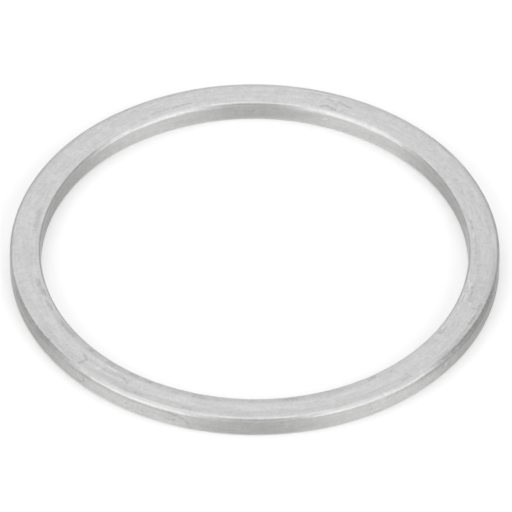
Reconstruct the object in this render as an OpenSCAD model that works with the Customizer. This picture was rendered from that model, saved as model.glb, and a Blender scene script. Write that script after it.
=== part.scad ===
// Hub spacer: a flat turned ring that slides over a hub body and takes up width on it.
// It lies on z = 0, with its centre on the origin and its bore along +Z.

/* [Ring] */
// Bore diameter, a free slide over the hub body
bore_d = 35; // [15:0.1:60]
// Radial width of the ring, from its bore to its outside
rim_w = 2.55; // [1:0.05:10]
// Thickness between the flat faces, which is the width that the spacer takes up
thickness = 1.85; // [0.8:0.05:10]

/* [Edges] */
// Radius of the two rounded edges on the outside
outer_edge_r = 0.3; // [0.05:0.05:1]
// Radius of the two rounded edges of the bore
bore_edge_r = 0.3; // [0.05:0.05:1]

/* [Hidden] */

// Facet angle in degrees and shortest facet of round surfaces
$fa = 2;
$fs = 0.05;

// Colour of plain satin aluminium
aluminium = [0.8, 0.8, 0.8];

// Largest share of the section's narrower side that one rounded edge may take
edge_share = 0.4;
edge_limit = edge_share * min(rim_w, thickness);
outer_round = min(outer_edge_r, edge_limit);
bore_round = min(bore_edge_r, edge_limit);

bore_r = bore_d / 2;

// Waste of one edge, with the sharp corner at the origin and the section in the first quadrant:
// the corner square without the circle that rounds it off
module edge_waste(r) {
    difference() {
        square(r);
        translate([r, r]) circle(r);
    }
}

// Waste of the lower and the upper edge on the side of the section at x = 0
module edge_pair(r) {
    edge_waste(r);
    translate([0, thickness]) mirror([0, 1]) edge_waste(r);
}

// Section of the ring, with the bore wall at x = 0 and the lower face at y = 0
module ring_section() {
    difference() {
        square([rim_w, thickness]);
        edge_pair(bore_round);
        translate([rim_w, 0]) mirror([1, 0]) edge_pair(outer_round);
    }
}

// The whole spacer, one turned piece
module spacer_ring() {
    color(aluminium) rotate_extrude() translate([bore_r, 0]) ring_section();
}

spacer_ring();
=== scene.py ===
"""Studio scene of a hub spacer: one flat turned aluminium ring that lies on a white floor.

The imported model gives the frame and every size. One new piece, a rounded section carried round the
bore's axis, stands for the CAD solid: its edges are a little uneven and nicked, as tumbling leaves
them, and its faces, edges and walls each have a satin finish of their own. The camera looks down on
it as in the photograph, under two softboxes and a bank of light behind and above.
"""

from __future__ import annotations

import logging
import math
from dataclasses import dataclass
from enum import Enum
from typing import Any, Mapping, Union

import bpy
import numpy as np
from mathutils import Matrix, Vector

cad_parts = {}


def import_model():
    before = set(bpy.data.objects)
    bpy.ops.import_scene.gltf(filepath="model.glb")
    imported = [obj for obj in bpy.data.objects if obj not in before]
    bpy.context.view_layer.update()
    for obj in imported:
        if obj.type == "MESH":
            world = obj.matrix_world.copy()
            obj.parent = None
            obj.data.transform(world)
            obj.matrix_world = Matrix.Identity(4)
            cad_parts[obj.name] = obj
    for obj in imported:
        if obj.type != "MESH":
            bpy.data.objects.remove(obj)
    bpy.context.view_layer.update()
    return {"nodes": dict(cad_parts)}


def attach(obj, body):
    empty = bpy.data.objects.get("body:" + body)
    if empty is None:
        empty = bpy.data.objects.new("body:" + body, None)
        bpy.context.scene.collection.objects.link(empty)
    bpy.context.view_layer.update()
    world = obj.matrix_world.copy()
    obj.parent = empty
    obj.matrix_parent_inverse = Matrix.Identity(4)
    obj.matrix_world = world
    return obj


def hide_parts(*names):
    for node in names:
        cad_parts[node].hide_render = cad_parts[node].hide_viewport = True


LOG = logging.getLogger("hub_spacer")

MM = 0.001
PER_MM = 1.0 / MM
IMAGE_SIDE_PX = 512

RING_NODE = "spacer_ring"
RING_BODY = "root"
RING_SLOT = "satin_aluminium"
SECTION_ATTRIBUTE = "section_mm"
WHITE = (1.0, 1.0, 1.0, 1.0)

# Middle of a noise node's range, and the tone at which the colour is palest
NOISE_MIDDLE = 0.5
FULL_TONE = 0.5

# Cells of noise for each unit of the lay, which is already counted in lines
LAY_SCALE = 1.0

# Numbers of the Mix node's colour sockets, which share their names with its other sockets
MIX_FACTOR = 0
MIX_LOW = 6
MIX_HIGH = 7
MIX_COLOUR = 2

# Shares of a mark's half width: where it has faded out sideways, up to where it is whole, and how far
# its ends fade inwards
STROKE_GONE = 1.4
STROKE_WHOLE = 0.4
STROKE_END_FADE = 0.5

# Heights between which marks on the upper face set in, and how far to either side of the rim's middle
# the marks on its two walls do
FACE_SETS_IN_MM = (0.6, 1.2)
WALL_SETS_IN_MM = 0.4

Number = Union["Value", float]


class Value:
    """A value in a material: an output socket whose arithmetic adds Math nodes."""

    def __init__(self, graph: ShaderGraph, socket: bpy.types.NodeSocket) -> None:
        """Wraps one output socket of the graph."""
        self.graph = graph
        self.socket = socket

    def __add__(self, other: Number) -> Value:
        """Sum of two values."""
        return self.graph.math("ADD", self, other)

    def __sub__(self, other: Number) -> Value:
        """Difference of two values."""
        return self.graph.math("SUBTRACT", self, other)

    def __rsub__(self, other: Number) -> Value:
        """Difference with this value taken away."""
        return self.graph.math("SUBTRACT", other, self)

    def __mul__(self, other: Number) -> Value:
        """Product of two values."""
        return self.graph.math("MULTIPLY", self, other)

    def __truediv__(self, other: Number) -> Value:
        """Quotient of two values."""
        return self.graph.math("DIVIDE", self, other)

    def __rtruediv__(self, other: Number) -> Value:
        """Quotient with this value below."""
        return self.graph.math("DIVIDE", other, self)

    def __pow__(self, other: Number) -> Value:
        """This value to a power."""
        return self.graph.math("POWER", self, other)

    def __rpow__(self, other: Number) -> Value:
        """Another value to the power of this one."""
        return self.graph.math("POWER", other, self)

    __radd__ = __add__
    __rmul__ = __mul__

    def __abs__(self) -> Value:
        """Size of the value without its sign."""
        return self.graph.math("ABSOLUTE", self)

    def step(self, low: float, high: float) -> Value:
        """Smooth step from 0 where the value is low to 1 where it is high.

        Args:
            low: value at which the step is 0.
            high: value at which the step is 1, above or below low.

        Returns:
            The step, held between 0 and 1.
        """
        rising = {"interpolation_type": "SMOOTHSTEP", "clamp": True}
        ends = {"Value": self, "From Min": min(low, high), "From Max": max(low, high)}
        ramp = {"To Min": float(low > high), "To Max": float(low <= high)}
        return self.graph.node("ShaderNodeMapRange", rising, ends | ramp)["Result"]


class ShaderNode:
    """A node of a material, whose outputs are read by name."""

    def __init__(self, graph: ShaderGraph, node: bpy.types.Node) -> None:
        """Wraps one node of the graph."""
        self.graph = graph
        self.node = node

    def __getitem__(self, name: str | int) -> Value:
        """The output socket of that name or number."""
        return Value(self.graph, self.node.outputs[name])


class ShaderGraph:
    """The node tree of one material."""

    def __init__(self, name: str) -> None:
        """Starts an empty material.

        Args:
            name: the material's name.
        """
        self.material = bpy.data.materials.new(name)
        self.material.use_nodes = True
        self.tree = self.material.node_tree
        self.tree.nodes.clear()

    def node(
        self,
        kind: str,
        settings: Mapping[str, Any] | None = None,
        sockets: Mapping[str | int, Any] | None = None,
    ) -> ShaderNode:
        """Adds a node.

        Args:
            kind: type of the node.
            settings: properties of the node, which are set first.
            sockets: what each input takes, by name or number: a Value to link or a plain value.

        Returns:
            The new node.
        """
        made = self.tree.nodes.new(kind)
        for name, setting in (settings or {}).items():
            setattr(made, name, setting)
        for name, given in (sockets or {}).items():
            if isinstance(given, Value):
                self.tree.links.new(given.socket, made.inputs[name])
            else:
                made.inputs[name].default_value = given
        return ShaderNode(self, made)

    def math(self, operation: str, *terms: Number) -> Value:
        """Adds a Math node.

        Args:
            operation: what the node does with its terms.
            terms: values or numbers, in the order of the node's inputs.

        Returns:
            The result.
        """
        return self.node("ShaderNodeMath", {"operation": operation}, dict(enumerate(terms)))["Value"]

    def vector(self, x: Number, y: Number, z: Number) -> Value:
        """Vector of three values."""
        return self.node("ShaderNodeCombineXYZ", None, {"X": x, "Y": y, "Z": z})["Vector"]

    def dot(self, place: Value, axis: np.ndarray) -> Value:
        """How far a place lies along an axis of two parts."""
        sockets = {0: place, 1: (float(axis[0]), float(axis[1]), 0.0)}
        return self.node("ShaderNodeVectorMath", {"operation": "DOT_PRODUCT"}, sockets)["Value"]

    def noise(self, place: Value, scale: float, detail: float = 2.0, roughness: float = 0.5) -> Value:
        """Cloudy noise about 0, between -0.5 and 0.5.

        Args:
            place: vector at which the noise is read.
            scale: cells of the noise for each unit of the vector.
            detail: how many finer layers are added.
            roughness: strength of each finer layer against the one before it.

        Returns:
            The noise.
        """
        sockets = {"Vector": place, "Scale": scale, "Detail": detail, "Roughness": roughness}
        return self.node("ShaderNodeTexNoise", None, sockets)["Fac"] - NOISE_MIDDLE

    def blend(self, factor: Number, low: Any, high: Any) -> Value:
        """Colour between low, where the factor is 0, and high, where it is 1."""
        sockets = {MIX_FACTOR: factor, MIX_LOW: low, MIX_HIGH: high}
        return self.node("ShaderNodeMix", {"data_type": "RGBA"}, sockets)[MIX_COLOUR]

    def finish(self, shader: Value) -> bpy.types.Material:
        """Sends a shader to the surface and gives back the material."""
        self.node("ShaderNodeOutputMaterial", None, {"Surface": shader})
        return self.material


@dataclass(frozen=True)
class RingSpot:
    """Place on the ring as the finishes read it, in millimetres and radians."""

    place: Value
    z: Value
    radius: Value
    angle: Value
    lay: Value

    @classmethod
    def of_graph(cls, graph: ShaderGraph, line_length: float, line_width: float) -> RingSpot:
        """Reads the place in a material.

        The lay is a vector for noise that runs in long lines round the axis, as a turning tool
        leaves them: two parts are the place across the axis over the lines' length, and the third is
        the way along the section over the lines' width.

        Args:
            graph: the material's graph.
            line_length: how far a turning line stays the same.
            line_width: how far apart the lines lie.

        Returns:
            The place.
        """
        metres = graph.node("ShaderNodeTexCoord")["Object"]
        to_mm = {0: metres, "Scale": PER_MM}
        place = graph.node("ShaderNodeVectorMath", {"operation": "SCALE"}, to_mm)["Vector"]
        parts = graph.node("ShaderNodeSeparateXYZ", None, {"Vector": place})
        x, y = parts["X"], parts["Y"]
        radius = (x * x + y * y) ** 0.5
        along_section = graph.node("ShaderNodeAttribute", {"attribute_name": SECTION_ATTRIBUTE})["Fac"]
        lay = graph.vector(x / line_length, y / line_length, along_section / line_width)
        return cls(place, parts["Z"], radius, graph.math("ARCTAN2", y, x), lay)


@dataclass(frozen=True)
class Mark:
    """A stroke, scratch or smudge on the metal, or a strip of painted highlight or painted shade, from
    its start to its end.

    Each end is an angle round the ring, in degrees from +X towards +Y, and a place across in
    millimetres, which is the radius on a face and the height above the lower face on a wall. A
    shade below 0 is dark and one above it is light.
    """

    start: tuple[float, float]
    end: tuple[float, float]
    width_mm: float
    shade: float

    def mask(self, graph: ShaderGraph, flat: Value, girth_mm: float) -> Value:
        """Works out where the mark lies on a side that is unrolled flat.

        The way along the mark and the way across it are the dot products of the place with the
        mark's direction and with the direction square to it, counted from the mark's middle. The
        mask fades over the outer part of the width and of the length.

        Args:
            graph: the material's graph.
            flat: the place on the unrolled side.
            girth_mm: radius by which the side was unrolled.

        Returns:
            The mask, 1 on the mark and 0 beside it.
        """
        ends = np.array([self.start, self.end])
        ends[:, 0] = np.radians(wrapped(ends[:, 0])) * girth_mm
        middle, run = ends.mean(axis=0), ends[1] - ends[0]
        length = float(np.hypot(*run))
        onward = run / length
        square = np.array([-onward[1], onward[0]])
        along, across = (graph.dot(flat, axis) - float(axis @ middle) for axis in (onward, square))
        half_length, half_width = length / 2.0, self.width_mm / 2.0
        stroke = abs(across).step(half_width * STROKE_GONE, half_width * STROKE_WHOLE)
        whole_length = half_length - half_width * STROKE_END_FADE
        return stroke * abs(along).step(half_length + half_width, whole_length)


class Side(Enum):
    """Sides of the ring that carry marks, each with the radius in millimetres that unrolls it."""

    UPPER_FACE = 18.8
    OUTER_WALL = 20.05
    BORE_WALL = 17.5

    def unroll(self, graph: ShaderGraph, spot: RingSpot, wobble: Number) -> Value:
        """Place on the side when it is rolled out flat, wandering a little: way round, then across."""
        across = spot.radius if self is Side.UPPER_FACE else spot.z
        return graph.vector(spot.angle * self.value, across + wobble, 0.0)

    def gate(self, spot: RingSpot) -> Value:
        """Tells this side from the one opposite.

        The upper face is told by its height, and a wall by its radius against the rim's middle.

        Args:
            spot: the place on the ring.

        Returns:
            The mask, 1 on this side and 0 on the one opposite.
        """
        if self is Side.UPPER_FACE:
            return spot.z.step(*FACE_SETS_IN_MM)
        middle = Side.UPPER_FACE.value
        margin = WALL_SETS_IN_MM if self is Side.OUTER_WALL else -WALL_SETS_IN_MM
        return spot.radius.step(middle - margin, middle + margin)


@dataclass(frozen=True)
class MarkedSide:
    """The marks on one side of the ring, which wander and are worn, or are even strips of painted
    highlight and painted shade. Worn marks can be painted shade too.
    """

    side: Side
    marks: tuple[Mark, ...]
    worn: bool = True

    def tone(self, graph: ShaderGraph, spot: RingSpot, wobble: Value, wear: Value) -> Value:
        """Adds up the marks' shades.

        Args:
            graph: the material's graph.
            spot: the place on the ring.
            wobble: how far the marks wander sideways.
            wear: how much of a mark is left at each place.

        Returns:
            The tone that the marks add.
        """
        flat = self.side.unroll(graph, spot, wobble if self.worn else 0.0)
        shades = [mark.mask(graph, flat, self.side.value) * mark.shade for mark in self.marks]
        tone = sum(shades[1:], shades[0]) * self.side.gate(spot)
        return tone * wear if self.worn else tone


@dataclass(frozen=True)
class RimPaintedShade:
    """Painted shade in a broken darker zone on a face, along one of its rims.

    The cores are the shares of the half sweep and of the reach within which the zone is whole.
    """

    angle_deg: float
    half_sweep_deg: float
    rim_mm: float
    reach_mm: float
    shade: float
    sweep_core: float = 0.6
    reach_core: float = 0.4
    patch_step: tuple[float, float] = (-0.2, 0.1)

    def tone(self, graph: ShaderGraph, spot: RingSpot, patches: Value) -> Value:
        """Works out the zone's shade.

        It fades with the distance from the rim's radius and with the cosine of the angle from the
        zone's middle, and patches of noise break it up.

        Args:
            graph: the material's graph.
            spot: the place on the ring.
            patches: noise that breaks the zone up.

        Returns:
            The tone that the zone adds.
        """
        half = math.radians(self.half_sweep_deg)
        facing_it = graph.math("COSINE", spot.angle - math.radians(self.angle_deg))
        sweep = facing_it.step(math.cos(half), math.cos(half * self.sweep_core))
        near = abs(spot.radius - self.rim_mm).step(self.reach_mm, self.reach_mm * self.reach_core)
        broken = sweep * near * patches.step(*self.patch_step)
        return broken * Side.UPPER_FACE.gate(spot) * self.shade


class Surface(Enum):
    """Kinds of surface round the ring's section, numbered as their materials are."""

    FACE = 0
    EDGE = 1
    WALL = 2


@dataclass(frozen=True)
class SatinAluminium:
    """Satin finish of plain aluminium that was turned and then tumbled, on one kind of surface.

    The strengths of its detail are tones: the full tone is the palest colour and its opposite the
    deepest.
    """

    surface: Surface
    colour: tuple[float, float, float]
    roughness: float
    lay_anisotropy: float
    marked: tuple[MarkedSide, ...]
    rim_painted_shades: tuple[RimPaintedShade, ...] = ()
    colour_span: float = 0.2
    mottle: float = 0.55
    lay_lines: float = 0.6
    grain: float = 0.5
    specks: float = 0.15
    mottle_per_mm: float = 2.0
    mottle_detail: float = 4.0
    mottle_roughness: float = 0.62
    grain_per_mm: float = 5.0
    fine_detail: float = 3.0
    fine_roughness: float = 0.6
    speck_per_mm: float = 1.6
    speck_detail: float = 1.0
    speck_step: tuple[float, float] = (0.17, 0.26)
    wobble_mm: float = 0.3
    wobble_per_mm: float = 2.5
    wear_per_mm: float = 4.5
    wear_step: tuple[float, float] = (-0.3, 0.12)
    wear_span: float = 1.1
    wear_least: float = 0.15
    line_length_mm: float = 2.5
    line_width_mm: float = 0.22
    across_the_lay: float = 0.25
    tone_roughness: float = 0.12
    relief: float = 0.004 * MM
    grain_relief: float = 0.6

    def shade_of(self, tone: float) -> tuple[float, float, float, float]:
        """Works out the colour at a tone: the plain colour, scaled in proportion to the tone.

        Args:
            tone: the tone, from the deepest to the palest.

        Returns:
            The colour, with its alpha.
        """
        share = 1.0 + tone / FULL_TONE * self.colour_span
        red, green, blue = self.colour
        return (red * share, green * share, blue * share, 1.0)

    def material(self) -> bpy.types.Material:
        """Builds the material.

        The tone adds up cloudy mottle, turning lines, grain, rare specks, painted shade along the rims
        and the marks, some of which are painted highlight and painted shade. It sets the colour
        between the deepest and the palest, and a deeper tone is a little rougher.
        Lines and grain also give the relief.

        Returns:
            The finished material.
        """
        graph = ShaderGraph(f"{RING_SLOT}_{self.surface.name.lower()}")
        spot = RingSpot.of_graph(graph, self.line_length_mm, self.line_width_mm)
        cloud = graph.noise(spot.place, self.mottle_per_mm, self.mottle_detail, self.mottle_roughness)
        lines = graph.noise(spot.lay, LAY_SCALE, self.fine_detail, self.fine_roughness)
        grain = graph.noise(spot.place, self.grain_per_mm, self.fine_detail, self.fine_roughness)
        speck = graph.noise(spot.place, self.speck_per_mm, self.speck_detail).step(*self.speck_step)
        tone = cloud * self.mottle + lines * self.lay_lines + grain * self.grain - speck * self.specks
        # Painted shade in zones along the rims
        for zone in self.rim_painted_shades:
            tone = tone + zone.tone(graph, spot, cloud)
        wobble = graph.noise(spot.place, self.wobble_per_mm) * self.wobble_mm
        unworn = graph.noise(spot.place, self.wear_per_mm).step(*self.wear_step)
        wear = unworn * self.wear_span + self.wear_least
        # Marks, some of them painted highlight and painted shade
        for side in self.marked:
            tone = tone + side.tone(graph, spot, wobble, wear)
        height = lines + grain * self.grain_relief
        bump = graph.node("ShaderNodeBump", None, {"Distance": self.relief, "Height": height})
        sockets = {
            "Base Color": graph.blend(
                tone + FULL_TONE, self.shade_of(-FULL_TONE), self.shade_of(FULL_TONE)
            ),
            "Metallic": 1.0,
            "Roughness": self.roughness - tone * self.tone_roughness,
            "Anisotropic": self.lay_anisotropy,
            "Anisotropic Rotation": self.across_the_lay,
            "Normal": bump["Normal"],
        }
        return graph.finish(graph.node("ShaderNodeBsdfPrincipled", None, sockets)["BSDF"])


# Scratches and smudges on the upper face
FACE_MARKS = (
    Mark((72.8, 18.05), (71.2, 18.27), 0.20, -0.50),
    Mark((71.2, 18.27), (69.8, 18.20), 0.20, -0.42),
    Mark((69.8, 18.20), (68.2, 18.00), 0.20, -0.42),
    Mark((66.9, 17.95), (66.7, 18.35), 0.25, -0.25),
    Mark((71.9, 19.05), (70.0, 19.00), 0.18, -0.30),
    Mark((69.0, 19.05), (67.3, 19.00), 0.20, -0.42),
    Mark((67.3, 19.00), (65.9, 18.82), 0.20, -0.45),
    Mark((66.1, 18.80), (65.0, 18.76), 0.24, -0.50),
    Mark((69.2, 18.80), (68.6, 18.30), 0.20, -0.20),
    Mark((76.2, 19.40), (74.3, 19.42), 0.14, -0.22),
    Mark((74.3, 19.42), (73.0, 19.20), 0.14, -0.20),
    Mark((112.2, 18.27), (107.0, 18.30), 0.22, -0.28),
    Mark((118.5, 18.35), (113.5, 18.30), 0.25, -0.15),
    Mark((126.8, 19.65), (125.8, 19.25), 0.18, -0.25),
    Mark((141.4, 18.85), (140.2, 18.60), 0.18, -0.25),
    Mark((174.0, 18.15), (165.5, 18.15), 0.35, -0.18),
    Mark((183.0, 18.15), (180.2, 18.18), 0.25, -0.12),
    Mark((198.2, 18.00), (191.8, 18.12), 0.35, -0.30),
    Mark((199.0, 17.95), (196.5, 17.88), 0.20, -0.25),
    Mark((204.6, 18.02), (200.6, 18.08), 0.25, -0.30),
    Mark((216.0, 17.95), (209.0, 18.02), 0.35, -0.22),
    Mark((223.4, 17.85), (221.6, 17.90), 0.35, -0.30),
    Mark((224.2, 19.60), (224.4, 18.85), 0.30, -0.22),
    Mark((224.6, 18.86), (222.2, 18.65), 0.26, -0.26),
    Mark((227.2, 18.35), (225.0, 18.40), 0.22, 0.12),
    Mark((228.7, 19.05), (227.6, 19.10), 0.26, 0.18),
    Mark((230.0, 18.70), (225.4, 18.80), 0.25, -0.15),
    Mark((231.0, 17.95), (228.6, 17.95), 0.30, -0.30),
    Mark((233.0, 18.30), (229.8, 18.32), 0.28, 0.14),
    Mark((235.6, 18.60), (230.0, 18.70), 0.35, -0.20),
    Mark((237.6, 18.85), (235.6, 18.60), 0.30, -0.30),
    Mark((238.6, 17.82), (236.0, 17.84), 0.25, -0.35),
    Mark((242.4, 17.92), (241.6, 17.92), 0.30, -0.50),
    Mark((242.8, 19.45), (240.2, 19.50), 0.20, -0.22),
    Mark((250.2, 18.10), (248.6, 18.05), 0.30, -0.25),
    Mark((255.4, 19.50), (252.8, 19.50), 0.20, -0.22),
    Mark((256.5, 17.84), (253.8, 17.84), 0.14, -0.30),
    Mark((257.5, 18.05), (253.8, 18.07), 0.14, -0.30),
    Mark((281.5, 18.00), (277.5, 17.95), 0.30, -0.20),
    Mark((303.2, 17.90), (300.6, 17.95), 0.30, -0.35),
    Mark((308.0, 18.15), (307.0, 18.20), 0.20, -0.25),
    Mark((310.5, 19.50), (307.5, 19.45), 0.30, -0.25),
    Mark((327.9, 17.90), (326.4, 17.92), 0.22, -0.22),
    Mark((329.2, 17.85), (328.3, 17.90), 0.25, 0.20),
    Mark((329.8, 18.15), (326.6, 18.10), 0.22, -0.25),
    Mark((336.5, 19.60), (333.0, 19.50), 0.25, -0.28),
    Mark((338.3, 19.50), (338.4, 19.00), 0.28, -0.24),
    Mark((340.7, 18.80), (340.9, 18.30), 0.26, -0.24),
    Mark((341.0, 19.50), (338.6, 19.45), 0.28, -0.30),
    Mark((342.6, 17.94), (339.4, 17.95), 0.14, -0.38),
    Mark((342.6, 18.05), (340.0, 18.18), 0.16, 0.24),
    Mark((343.0, 17.84), (340.2, 17.85), 0.14, 0.34),
    Mark((343.7, 19.10), (342.0, 19.30), 0.14, 0.15),
    Mark((346.0, 18.32), (341.6, 18.45), 0.18, -0.32),
    Mark((348.2, 17.85), (345.6, 18.15), 0.24, 0.26),
    Mark((349.0, 18.85), (341.2, 18.85), 1.10, -0.12),
    Mark((352.0, 18.38), (354.8, 18.42), 0.30, -0.20),
    Mark((358.0, 18.12), (364.0, 18.10), 0.20, -0.22),
    Mark((7.0, 18.03), (11.0, 18.05), 0.20, -0.30),
    Mark((8.4, 17.87), (11.0, 17.86), 0.16, 0.18),
    Mark((11.4, 18.85), (12.6, 19.05), 0.16, -0.20),
)

# Scratches and stains on the outer wall
OUTER_MARKS = (
    Mark((225.6, 1.40), (226.7, 1.15), 0.20, -0.32),
    Mark((226.7, 1.20), (226.8, 0.75), 0.20, -0.36),
    Mark((226.8, 0.75), (225.4, 0.42), 0.20, -0.28),
    Mark((225.4, 1.36), (221.0, 1.36), 0.30, -0.24),
    Mark((225.0, 0.42), (221.0, 0.42), 0.26, -0.16),
    Mark((239.5, 0.92), (238.8, 0.82), 0.22, -0.50),
    Mark((250.0, 1.45), (253.2, 1.20), 0.24, -0.20),
    Mark((251.2, 0.72), (249.0, 0.70), 0.20, -0.25),
    Mark((251.8, 0.85), (251.2, 0.72), 0.18, -0.32),
    Mark((253.2, 1.20), (254.6, 0.85), 0.24, -0.22),
    Mark((254.0, 0.90), (252.8, 0.60), 0.25, 0.15),
    Mark((254.6, 0.85), (254.9, 0.45), 0.24, -0.20),
    Mark((259.4, 0.75), (257.8, 0.70), 0.18, -0.20),
    Mark((298.4, 0.85), (297.8, 0.75), 0.16, -0.25),
    Mark((300.2, 0.55), (298.6, 0.62), 0.20, 0.25),
    Mark((309.2, 0.70), (308.6, 0.55), 0.14, -0.35),
    Mark((320.0, 1.12), (319.2, 1.00), 0.16, -0.35),
    Mark((321.0, 1.05), (320.4, 1.05), 0.30, 0.40),
    Mark((322.4, 0.95), (321.7, 0.65), 0.14, -0.35),
)

# Painted shade in bands along the top of the outer wall and its edge, most of them to the left and
# right, where they reflect dark surroundings
PAINTED_SIDE_SHADE = (
    Mark((190.0, 1.60), (229.0, 1.56), 0.50, -0.19),
    Mark((194.0, 1.58), (214.0, 1.58), 0.55, -0.18),
    Mark((226.0, 1.40), (252.0, 1.40), 0.30, -0.20),
    Mark((302.0, 1.40), (318.0, 1.40), 0.30, -0.20),
    Mark((312.0, 1.52), (351.0, 1.60), 0.50, -0.22),
    Mark((318.0, 1.54), (348.0, 1.60), 0.55, -0.22),
    Mark((326.0, 1.56), (346.0, 1.62), 0.55, -0.22),
)

# Strips of painted highlight and painted shade along the outer upper edge, which move where its
# highlight lies
OUTER_EDGE_PAINTED_LIGHT = (
    Mark((228.0, 1.79), (258.0, 1.79), 0.08, -0.24),
    Mark((229.0, 1.66), (254.0, 1.66), 0.12, 0.19),
    Mark((262.0, 1.83), (280.0, 1.83), 0.08, 0.25),
    Mark((283.0, 1.79), (312.0, 1.79), 0.08, -0.25),
    Mark((284.0, 1.66), (313.0, 1.66), 0.12, 0.26),
)

# Strips of painted highlight and painted shade along the upper edge of the bore, which move where its
# highlights and dark lines lie
BORE_EDGE_PAINTED_LIGHT = (
    Mark((8.0, 1.64), (32.0, 1.64), 0.20, -0.21),
    Mark((46.0, 1.64), (70.0, 1.64), 0.14, 0.30),
    Mark((78.0, 1.83), (102.0, 1.83), 0.08, 0.26),
    Mark((104.0, 1.80), (126.0, 1.80), 0.08, -0.19),
    Mark((112.0, 1.64), (137.0, 1.64), 0.14, 0.30),
    Mark((142.0, 1.64), (177.0, 1.64), 0.20, -0.21),
)

# Bright nicks in the bore's wall
BORE_MARKS = (
    Mark((65.4, 0.75), (65.0, 0.72), 0.12, 0.35),
    Mark((69.6, 1.35), (69.2, 1.30), 0.14, 0.30),
    Mark((71.2, 0.98), (70.0, 1.10), 0.14, 0.55),
    Mark((90.2, 1.00), (89.4, 1.02), 0.12, 0.35),
    Mark((96.6, 0.98), (96.0, 0.95), 0.12, 0.35),
)

# Painted shade in darker zones along the upper face's rims: where the front bore rim rolls off, a dark
# line beside the outer edge's highlight at the front, dark reflections on the right of the outer edge,
# and a thin dark line where the far outer rim rolls away
FRONT_BORE_PAINTED_SHADE = RimPaintedShade(252.0, 58.0, rim_mm=17.6, reach_mm=0.85, shade=-0.32)
FRONT_OUTER_PAINTED_SHADE = RimPaintedShade(256.0, 62.0, rim_mm=19.45, reach_mm=0.4, shade=-0.22)
RIGHT_OUTER_PAINTED_SHADE = RimPaintedShade(338.0, 24.0, rim_mm=19.68, reach_mm=0.3, shade=-0.3)
FAR_OUTER_PAINTED_SHADE = RimPaintedShade(90.0, 88.0, rim_mm=19.9, reach_mm=0.3, shade=-0.35)

FINISHES = (
    SatinAluminium(
        Surface.FACE,
        colour=(0.64, 0.64, 0.64),
        roughness=0.6,
        lay_anisotropy=0.13,
        marked=(MarkedSide(Side.UPPER_FACE, FACE_MARKS),),
        # Painted shade along the face's rims
        rim_painted_shades=(FRONT_BORE_PAINTED_SHADE, FRONT_OUTER_PAINTED_SHADE, RIGHT_OUTER_PAINTED_SHADE, FAR_OUTER_PAINTED_SHADE),
    ),
    SatinAluminium(
        Surface.EDGE,
        colour=(0.615, 0.615, 0.612),
        roughness=0.45,
        lay_anisotropy=0.82,
        # The edge's marks are all painted shade and painted highlight
        marked=(
            MarkedSide(Side.OUTER_WALL, PAINTED_SIDE_SHADE),
            MarkedSide(Side.OUTER_WALL, OUTER_EDGE_PAINTED_LIGHT, worn=False),
            MarkedSide(Side.BORE_WALL, BORE_EDGE_PAINTED_LIGHT, worn=False),
        ),
        # Painted shade along the front bore rim and the far outer rim
        rim_painted_shades=(FRONT_BORE_PAINTED_SHADE, FAR_OUTER_PAINTED_SHADE),
    ),
    SatinAluminium(
        Surface.WALL,
        colour=(0.575, 0.575, 0.566),
        roughness=0.59,
        lay_anisotropy=0.85,
        marked=(
            # Wall marks, with painted shade along the top of the outer wall
            MarkedSide(Side.OUTER_WALL, OUTER_MARKS + PAINTED_SIDE_SHADE),
            MarkedSide(Side.BORE_WALL, BORE_MARKS),
        ),
    ),
)


@dataclass(frozen=True)
class RingSizes:
    """Sizes of the ring in metres, as its CAD solid has them."""

    outer_r: float
    bore_r: float
    bottom: float
    top: float
    outer_edge_r: float
    bore_edge_r: float

    @classmethod
    def of_solid(cls, solid: bpy.types.Object) -> RingSizes:
        """Measures the CAD solid's vertices.

        A straight wall ends where its rounded edge starts, so the edge's radius is the height of the
        wall's lowest vertex above the lower face.

        Args:
            solid: the ring's CAD object, with its bore along Z.

        Returns:
            The ring's sizes.
        """
        on_wall = 0.001 * MM
        places = np.empty(len(solid.data.vertices) * 3)
        solid.data.vertices.foreach_get("co", places)
        x, y, z = places.reshape(-1, 3).T
        radius = np.hypot(x, y)
        outer_r, bore_r = radius.max(), radius.min()
        bottom, top = z.min(), z.max()
        return cls(
            outer_r=float(outer_r),
            bore_r=float(bore_r),
            bottom=float(bottom),
            top=float(top),
            outer_edge_r=float(z[radius > outer_r - on_wall].min() - bottom),
            bore_edge_r=float(z[radius < bore_r + on_wall].min() - bottom),
        )


class RingEdge(Enum):
    """The ring's four edges, in the order of the section."""

    OUTER_LOWER = 0
    OUTER_UPPER = 1
    BORE_UPPER = 2
    BORE_LOWER = 3


@dataclass(frozen=True)
class WideStretch:
    """A stretch of an edge that is rounded more widely, or less, than the rest of it."""

    edge: RingEdge
    angle_deg: float
    half_sweep_deg: float
    extra_share: float

    def share(self, around: np.ndarray) -> np.ndarray:
        """Works out how much wider the rounding is: a raised cosine that ends half a sweep away.

        Args:
            around: angles round the ring.

        Returns:
            The extra share of the rounding's reach at each angle.
        """
        apart = np.abs(wrapped(np.degrees(around) - self.angle_deg))
        bell = 0.5 + 0.5 * np.cos(np.pi * np.minimum(apart / self.half_sweep_deg, 1.0))
        return self.extra_share * bell


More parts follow.
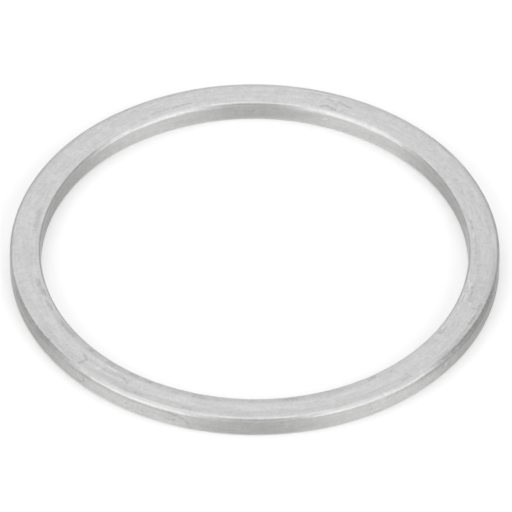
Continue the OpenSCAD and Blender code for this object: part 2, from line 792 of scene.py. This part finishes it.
@dataclass(frozen=True)
class EdgeWear:
    """What tumbling leaves on the ring's edges: uneven rounding, fine wear and small nicks."""

    seed: int = 11
    uneven_share: float = 0.08
    uneven_waves: tuple[int, int] = (2, 12)
    fine_depth: float = 0.008 * MM
    fine_waves: tuple[int, int] = (50, 260)
    nicks: int = 9
    nick_depth: tuple[float, float] = (0.004 * MM, 0.014 * MM)
    nick_reach: tuple[float, float] = (0.12 * MM, 0.3 * MM)
    stretches: tuple[WideStretch, ...] = (
        WideStretch(RingEdge.OUTER_UPPER, 250.0, 30.0, 0.15),
        WideStretch(RingEdge.OUTER_UPPER, 301.0, 22.0, -0.15),
        WideStretch(RingEdge.OUTER_UPPER, 338.0, 26.0, -0.12),
        WideStretch(RingEdge.OUTER_UPPER, 200.0, 30.0, -0.25),
        WideStretch(RingEdge.BORE_UPPER, 25.0, 32.0, -0.4),
        WideStretch(RingEdge.BORE_UPPER, 60.0, 28.0, 0.15),
        WideStretch(RingEdge.BORE_UPPER, 90.0, 16.0, -0.25),
        WideStretch(RingEdge.BORE_UPPER, 157.0, 36.0, -0.4),
    )

    def ripple(
        self,
        around: np.ndarray,
        waves: tuple[int, int],
        draw: np.random.Generator,
    ) -> np.ndarray:
        """Adds up whole waves round the ring into one uneven curve.

        Each wave is the cosine of its count times the angle plus a random phase, and its height is
        random too. The sum is scaled to reach 1 or -1 at its furthest.

        Args:
            around: angles round the ring.
            waves: lowest and highest count of waves round the ring.
            draw: source of random numbers.

        Returns:
            The curve at each angle.
        """
        counts = np.arange(*waves)[:, None]
        phases = draw.uniform(0.0, 2.0 * np.pi, counts.shape)
        heights = draw.uniform(0.0, 1.0, counts.shape) / np.sqrt(counts)
        curve = (heights * np.cos(counts * around + phases)).sum(axis=0)
        return curve / np.abs(curve).max()

    def rounding(self, edge: RingEdge, around: np.ndarray, draw: np.random.Generator) -> np.ndarray:
        """Share of its usual reach that an edge's rounding has at each angle."""
        wider = sum(stretch.share(around) for stretch in self.stretches if stretch.edge is edge)
        return 1.0 + wider + self.uneven_share * self.ripple(around, self.uneven_waves, draw)

    def depth(self, around: np.ndarray, radius: float, draw: np.random.Generator) -> np.ndarray:
        """Works out how deep an edge is worn at each angle.

        Fine wear is a ripple brought between 0 and its depth. Each nick is a bell curve of the
        distance round the edge from its middle.

        Args:
            around: angles round the ring.
            radius: radius of the edge round the ring's axis.
            draw: source of random numbers.

        Returns:
            The depth at each angle.
        """
        fine = self.fine_depth * (0.5 + 0.5 * self.ripple(around, self.fine_waves, draw))
        middles = draw.uniform(0.0, 2.0 * np.pi, (self.nicks, 1))
        depths = draw.uniform(*self.nick_depth, (self.nicks, 1))
        reaches = draw.uniform(*self.nick_reach, (self.nicks, 1))
        apart = np.abs((around - middles + np.pi) % (2.0 * np.pi) - np.pi) * radius
        return fine + (depths * np.exp(-((apart / reaches) ** 2))).sum(axis=0)


@dataclass(frozen=True)
class Corner:
    """One rounded corner of the ring's section, from the straight before it to the one after."""

    edge: RingEdge
    wall_r: float
    face_z: float
    outwards: float
    upwards: float
    face_reach: float
    wall_reach: float
    start_deg: float


@dataclass
class TurnedRing:
    """The spacer itself: a rounded section carried round the bore's axis."""

    sizes: RingSizes
    wear: EdgeWear
    finishes: tuple[SatinAluminium, ...]
    name: str = "turned_ring"
    steps_round: int = 1760
    steps_face: int = 4
    steps_wall: int = 8
    steps_edge: int = 8
    outer_face_share: float = 0.85
    outer_wall_share: float = 0.9
    bore_face_share: float = 0.8
    bore_wall_share: float = 1.1

    def corners(self) -> tuple[Corner, ...]:
        """Lists the corners of the section in order.

        A corner's reach along the face and its reach along the wall are shares of the solid's edge.

        Returns:
            The four corners.
        """
        s = self.sizes
        outer = s.outer_edge_r * self.outer_face_share, s.outer_edge_r * self.outer_wall_share
        bore = s.bore_edge_r * self.bore_face_share, s.bore_edge_r * self.bore_wall_share
        return (
            Corner(RingEdge.OUTER_LOWER, s.outer_r, s.bottom, 1.0, -1.0, *outer, -90.0),
            Corner(RingEdge.OUTER_UPPER, s.outer_r, s.top, 1.0, 1.0, *outer, 0.0),
            Corner(RingEdge.BORE_UPPER, s.bore_r, s.top, -1.0, 1.0, *bore, 90.0),
            Corner(RingEdge.BORE_LOWER, s.bore_r, s.bottom, -1.0, -1.0, *bore, 180.0),
        )

    def surface(self, around: np.ndarray) -> tuple[np.ndarray, np.ndarray, np.ndarray]:
        """Works out the ring's radius and height on a grid of angle and way round the section.

        The way runs outwards along the lower face, up the outer wall, inwards along the upper face
        and down the bore. Each corner is a quarter of an ellipse: its centre plus its reach along
        the face times the cosine of a turn through 90 degrees, and its reach along the wall times
        the sine, with both reaches less the wear there. The wear fades to nothing at both ends of
        the quarter, as the sine of twice the turn. Straight stretches run evenly between the
        quarters.

        Args:
            around: angles round the ring.

        Returns:
            Radius and height on the grid, and the kind of surface after each point of the section.
        """
        draw = np.random.default_rng(self.wear.seed)
        quarter = np.linspace(0.0, 90.0, self.steps_edge + 1)
        fade = np.sin(np.radians(2.0 * quarter))
        arcs = []
        for corner in self.corners():
            share = self.wear.rounding(corner.edge, around, draw)[:, None]
            worn = self.wear.depth(around, corner.wall_r, draw)[:, None] * fade
            along, up = corner.face_reach * share, corner.wall_reach * share
            turn = np.radians(corner.start_deg + quarter)
            radius = corner.wall_r - corner.outwards * along + (along - worn) * np.cos(turn)
            height = corner.face_z - corner.upwards * up + (up - worn) * np.sin(turn)
            arcs.append(np.stack((radius, height)))
        straights = ((self.steps_wall, Surface.WALL), (self.steps_face, Surface.FACE)) * 2
        runs, kinds = [], []
        for arc, after, (steps, kind) in zip(arcs, arcs[1:] + arcs[:1], straights):
            share = np.linspace(0.0, 1.0, steps + 1)[1:-1]
            start, end = arc[:, :, -1:], after[:, :, :1]
            runs += [arc, start + (end - start) * share]
            kinds += [Surface.EDGE.value] * self.steps_edge + [kind.value] * steps
        radius, height = np.concatenate(runs, axis=2)
        return radius, height, np.array(kinds)

    def build(self) -> bpy.types.Object:
        """Carries the section round the axis and dresses the ring.

        A point of the section at radius r and height h goes to r times the cosine and sine of the
        angle round the axis, at height h. Both directions of the grid close on themselves.

        Returns:
            The finished piece.
        """
        around = np.linspace(0.0, 2.0 * np.pi, self.steps_round, endpoint=False)
        radius, height, kinds = self.surface(around)
        cosine, sine = np.cos(around)[:, None], np.sin(around)[:, None]
        points = np.stack((radius * cosine, radius * sine, height), axis=-1)
        index = np.arange(radius.size).reshape(radius.shape)
        onward = np.roll(index, -1, axis=0)
        across = [np.roll(grid, -1, axis=1) for grid in (onward, index)]
        quads = np.stack((index, onward, *across), axis=-1)
        mesh = bpy.data.meshes.new(self.name)
        mesh.from_pydata(points.reshape(-1, 3), [], quads.reshape(-1, 4))
        mesh.shade_smooth()
        mesh.polygons.foreach_set("material_index", np.tile(kinds, self.steps_round).astype(np.int32))
        self.lay_out_section(mesh, radius[0], height[0])
        for finish in sorted(self.finishes, key=lambda made: made.surface.value):
            mesh.materials.append(finish.material())
        ring = bpy.data.objects.new(self.name, mesh)
        bpy.context.scene.collection.objects.link(ring)
        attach(ring, RING_BODY)
        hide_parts(RING_NODE)
        return ring

    def lay_out_section(self, mesh: bpy.types.Mesh, radius: np.ndarray, height: np.ndarray) -> None:
        """Stores the way along the section, in millimetres, at each corner of each face.

        A face between two points of the section has the first point's way at its first two corners
        and the next point's at its last two, so the closing face doesn't run back to 0.

        Args:
            mesh: the ring's mesh.
            radius: radius of the section's points.
            height: height of the section's points.
        """
        run = np.hypot(np.diff(radius, append=radius[0]), np.diff(height, append=height[0])) * PER_MM
        end = np.cumsum(run)
        start = end - run
        ways = np.tile(np.stack((start, start, end, end), axis=-1).ravel(), self.steps_round)
        layer = mesh.attributes.new(SECTION_ATTRIBUTE, "FLOAT", "CORNER")
        layer.data.foreach_set("value", ways.astype(np.float32))


@dataclass(frozen=True)
class Softbox:
    """An evenly lit panel that faces the ring."""

    name: str
    azimuth_deg: float
    elevation_deg: float
    distance: float
    width: float
    height: float
    radiance: float

    def build(self) -> None:
        """Hangs the panel at its angle round the ring.

        The azimuth counts from the camera's side, to the right. A panel of even radiance L gives off
        L times pi times its area.
        """
        lamp = bpy.data.lights.new(self.name, "AREA")
        lamp.shape = "RECTANGLE"
        lamp.size = self.width
        lamp.size_y = self.height
        lamp.energy = self.radiance * math.pi * self.width * self.height
        hung = bpy.data.objects.new(self.name, lamp)
        towards = from_angles(self.azimuth_deg, self.elevation_deg)
        hung.matrix_world = facing(towards * self.distance, towards)
        hung.visible_camera = False
        bpy.context.scene.collection.objects.link(hung)


@dataclass
class Studio:
    """White floor, plain surroundings and soft light."""

    floor_side: float = 6.0
    floor_colour: tuple[float, float, float] = (0.86, 0.86, 0.86)
    floor_lift: float = 0.15
    room_level: float = 0.32
    panels: tuple[Softbox, ...] = (
        Softbox("left_softbox", -51.5, 30.0, distance=0.5, width=0.55, height=0.5, radiance=1.66),
        Softbox("right_softbox", 53.0, 31.0, distance=0.5, width=0.51, height=0.45, radiance=1.9),
        Softbox("back_bank", 189.0, 70.0, distance=0.5, width=0.46, height=0.86, radiance=1.17),
    )

    def build(self) -> None:
        """Lays the floor, hangs the lamps and fills the room with even light."""
        self.lay_floor()
        for panel in self.panels:
            panel.build()
        world = bpy.data.worlds.new("plain_room")
        world.use_nodes = True
        background = world.node_tree.nodes["Background"]
        background.inputs["Color"].default_value = WHITE
        background.inputs["Strength"].default_value = self.room_level
        bpy.context.scene.world = world

    def floor_material(self) -> bpy.types.Material:
        """Paints the floor.

        It scatters the lamps' light and so shows the ring's shadow. A faint glow, which only the
        camera, mirrors and glass see, lifts it to white and sheds no light on the ring.

        Returns:
            The floor's material.
        """
        graph = ShaderGraph("white_floor")
        path = graph.node("ShaderNodeLightPath")
        seen = path["Is Camera Ray"] + path["Is Glossy Ray"] + path["Is Transmission Ray"]
        glow = graph.node("ShaderNodeEmission", None, {"Strength": seen * self.floor_lift})
        scatter = graph.node("ShaderNodeBsdfDiffuse", None, {"Color": (*self.floor_colour, 1.0)})
        both = graph.node("ShaderNodeAddShader", None, {0: scatter["BSDF"], 1: glow["Emission"]})
        return graph.finish(both["Shader"])

    def lay_floor(self) -> None:
        """Lays a square floor under the ring."""
        half = self.floor_side / 2.0
        corners = [(-half, -half, 0.0), (half, -half, 0.0), (half, half, 0.0), (-half, half, 0.0)]
        mesh = bpy.data.meshes.new("floor")
        mesh.from_pydata(corners, [], [(0, 1, 2, 3)])
        mesh.materials.append(self.floor_material())
        floor = bpy.data.objects.new("floor", mesh)
        bpy.context.scene.collection.objects.link(floor)


@dataclass(frozen=True)
class PhotoCamera:
    """Long lens that looks down on the ring as the photograph does."""

    elevation_deg: float = 43.46
    roll_deg: float = 0.35
    distance: float = 0.694
    sensor: float = 36.0
    focal_px: float = 8480.0
    ring_right_px: float = -1.26
    ring_up_px: float = 8.08

    def build(self, target: Vector) -> None:
        """Sets up the camera.

        Args:
            target: centre of the ring's upper face, which shows a little off the image's centre.
        """
        data = bpy.data.cameras.new("photo_camera")
        data.sensor_width = self.sensor
        data.lens = self.sensor * self.focal_px / IMAGE_SIDE_PX
        camera = bpy.data.objects.new("photo_camera", data)
        towards = from_angles(0.0, self.elevation_deg)
        place = facing(target + towards * self.distance, towards)
        place = place @ Matrix.Rotation(math.radians(self.roll_deg), 4, "Z")
        per_px = self.distance / self.focal_px
        slide = Vector((-self.ring_right_px * per_px, -self.ring_up_px * per_px, 0.0))
        camera.matrix_world = place @ Matrix.Translation(slide)
        bpy.context.scene.collection.objects.link(camera)
        bpy.context.scene.camera = camera


def wrapped(angle_deg: np.ndarray) -> np.ndarray:
    """Angles in degrees, brought between -180 and 180."""
    return (angle_deg + 180.0) % 360.0 - 180.0


def from_angles(azimuth_deg: float, elevation_deg: float) -> Vector:
    """Works out a direction from the ring.

    Args:
        azimuth_deg: angle round the ring, from the camera's side to the right.
        elevation_deg: angle above the floor.

    Returns:
        The direction, of length 1.
    """
    azimuth, elevation = math.radians(azimuth_deg), math.radians(elevation_deg)
    level = math.cos(elevation)
    return Vector((level * math.sin(azimuth), -level * math.cos(azimuth), math.sin(elevation)))


def facing(place: Vector, away: Vector) -> Matrix:
    """Placement of a camera or lamp whose back points along a direction, with its sides level.

    Args:
        place: where it stands.
        away: direction that its back points in, not straight up.

    Returns:
        The placement.
    """
    right = Vector((0.0, 0.0, 1.0)).cross(away).normalized()
    up = away.cross(right)
    turned = Matrix((right, up, away)).transposed().to_4x4()
    return Matrix.Translation(place) @ turned


def main() -> None:
    """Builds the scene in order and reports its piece."""
    logging.basicConfig(level=logging.INFO)
    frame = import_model()
    bpy.context.scene.view_settings.view_transform = "Standard"
    sizes = RingSizes.of_solid(frame["nodes"][RING_NODE])
    PhotoCamera().build(Vector((0.0, 0.0, sizes.top)))
    ring = TurnedRing(sizes, EdgeWear(), FINISHES).build()
    LOG.info("%s: %d faces", ring.name, len(ring.data.polygons))
    Studio().build()


if __name__ == "__main__":
    main()
